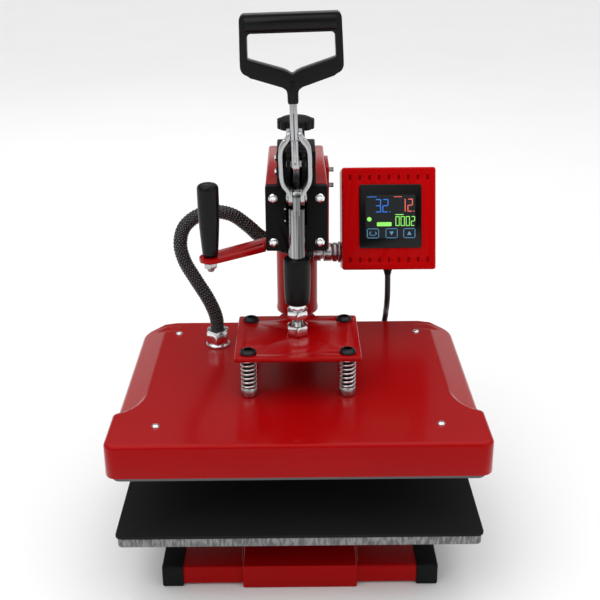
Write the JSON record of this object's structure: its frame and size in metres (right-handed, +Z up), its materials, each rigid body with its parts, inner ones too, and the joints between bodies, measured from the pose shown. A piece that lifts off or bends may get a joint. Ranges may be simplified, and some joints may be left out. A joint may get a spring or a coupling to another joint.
{
  "type": "swing-away heat press",
  "caption": "Table-top swing-away heat press: lever-worked heating head on springs over a padded lower platen, with control box, swing grip, conduit and mains lead.",
  "frame": {"origin": "under the middle of the machine, on the surface that it stands on", "axes": "+Z up, -Y towards the operator, +X to the operator's right, where the control box is"},
  "size_m": [0.386, 0.4763, 0.5971],
  "materials": {
    "red_paint": "gloss red powder coat",
    "dark_red_paint": "satin red powder coat",
    "black_paint": "satin black powder coat",
    "chrome": "polished chrome plate",
    "zinc": "zinc plated steel",
    "spring_steel": "nickel plated spring wire",
    "bolt_black": "black oxide",
    "aluminium": "cast and machined",
    "coated_aluminium": "dark non-stick coating",
    "silicone": "matt silicone foam",
    "boot_rubber": "moulded rubber",
    "sleeve_rubber": "smooth satin rubber",
    "lead_rubber": "satin cable sheath",
    "conduit_braid": "ribbed flexible conduit",
    "black_plastic": "moulded plastic",
    "grip_plastic": "satin moulded grip",
    "display_glass": "gloss black touch panel",
    "circuit_board": "solder mask",
    "insulation": "mineral wool board"
  },
  "bodies": {
    "base": {"front_crossbar": "dark_red_paint", "front_left_boot": "boot_rubber", "front_right_boot": "boot_rubber", "rear_crossbar": "dark_red_paint", "rear_left_boot": "boot_rubber", "rear_right_boot": "boot_rubber", "centre_beam": "dark_red_paint", "swing_column": "red_paint", "swing_shaft": "chrome", "platen_pedestal": "dark_red_paint", "lower_platen": "aluminium", "silicone_pad": "silicone", "lead_run": "lead_rubber", "lead_coil": "lead_rubber", "plug": "black_plastic"},
    "swing_arm": {"swing_sleeve": "red_paint", "arm_box": "red_paint", "guide_plate": "black_paint", "box_bracket": "red_paint", "box_nipple": "zinc", "arm_gland": "zinc", "control_box": "red_paint", "control_box_back": "red_paint", "display_panel": "display_glass", "control_board": "circuit_board", "switch_housing": "black_plastic", "lead_gland": "black_plastic", "grip_bar": "red_paint", "grip_bolt": "zinc", "conduit": "conduit_braid", "lead_drop": "lead_rubber"},
    "swing_grip": {"swing_grip": "grip_plastic"},
    "rocker": {"power_rocker": "black_plastic"},
    "adjuster": {"adjuster_block": "black_paint", "anchor_pin": "zinc"},
    "knob": {"pressure_knob": "black_plastic", "knob_screw": "zinc"},
    "link": {"toggle_link": "zinc"},
    "carriage": {"push_rod": "chrome", "rod_sleeve": "sleeve_rubber", "rod_collar": "chrome", "upper_nut": "zinc", "lower_nut": "zinc", "guide_key": "zinc", "bridge_plate": "red_paint"},
    "head": {"head_cover": "red_paint", "heat_platen": "coated_aluminium", "insulation_board": "insulation", "spring_bolt_1": "bolt_black", "spring_1": "spring_steel", "spring_bolt_2": "bolt_black", "spring_2": "spring_steel", "spring_bolt_3": "bolt_black", "spring_3": "spring_steel", "spring_bolt_4": "bolt_black", "spring_4": "spring_steel", "head_gland": "chrome"},
    "lever": {"lever_fork": "zinc", "d_grip": "grip_plastic", "lever_pin": "zinc"}
  },
  "joints": [
    {"name": "arm_swing", "type": "hinge", "parent": "base", "child": "swing_arm", "pos_m": [0, 0.156, 0.208], "axis": [0, 0, 1], "range_deg": [-110, 0]},
    {"name": "press_stroke", "type": "slide", "parent": "swing_arm", "child": "carriage", "axis": [0, 0, -1], "range_m": [0, 0.068], "deforming": ["conduit"]},
    {"name": "head_float", "type": "slide", "parent": "carriage", "child": "head", "axis": [0, 0, 1], "range_m": [0, 0.006], "stiffness_N_per_m": 40000, "springref_m": -0.003, "deforming": ["spring_1", "spring_2", "spring_3", "spring_4"]},
    {"name": "lever_turn", "type": "hinge", "parent": "carriage", "child": "lever", "pos_m": [0, -0.024, 0.409], "axis": [1, 0, 0], "range_deg": [0, 100]},
    {"name": "adjuster_slide", "type": "slide", "parent": "swing_arm", "child": "adjuster", "axis": [0, 0, 1], "range_m": [0, 0.003]},
    {"name": "knob_turn", "type": "hinge", "parent": "adjuster", "child": "knob", "pos_m": [0, 0.038, 0.46], "axis": [0, 0, 1], "range_deg": [0, 541]},
    {"name": "link_turn", "type": "hinge", "parent": "adjuster", "child": "link", "pos_m": [0, -0.024, 0.444], "axis": [1, 0, 0], "range_deg": [-46, 0]},
    {"name": "swing_grip_spin", "type": "hinge", "parent": "swing_arm", "child": "swing_grip", "pos_m": [-0.092, -0.03, 0.38], "axis": [0, 0, 1], "continuous": true},
    {"name": "rocker_press", "type": "hinge", "parent": "swing_arm", "child": "rocker", "pos_m": [0.085, 0.17125, 0.34916], "axis": [1, 0, 0], "range_deg": [0, 12]}
  ],
  "couplings": [
    {"joint": "lever_turn", "follows": "press_stroke", "rad_per_m": 25.666},
    {"joint": "link_turn", "follows": "press_stroke", "rad_per_m": -11.545},
    {"joint": "knob_turn", "follows": "adjuster_slide", "rad_per_m": 3141.6}
  ]
}
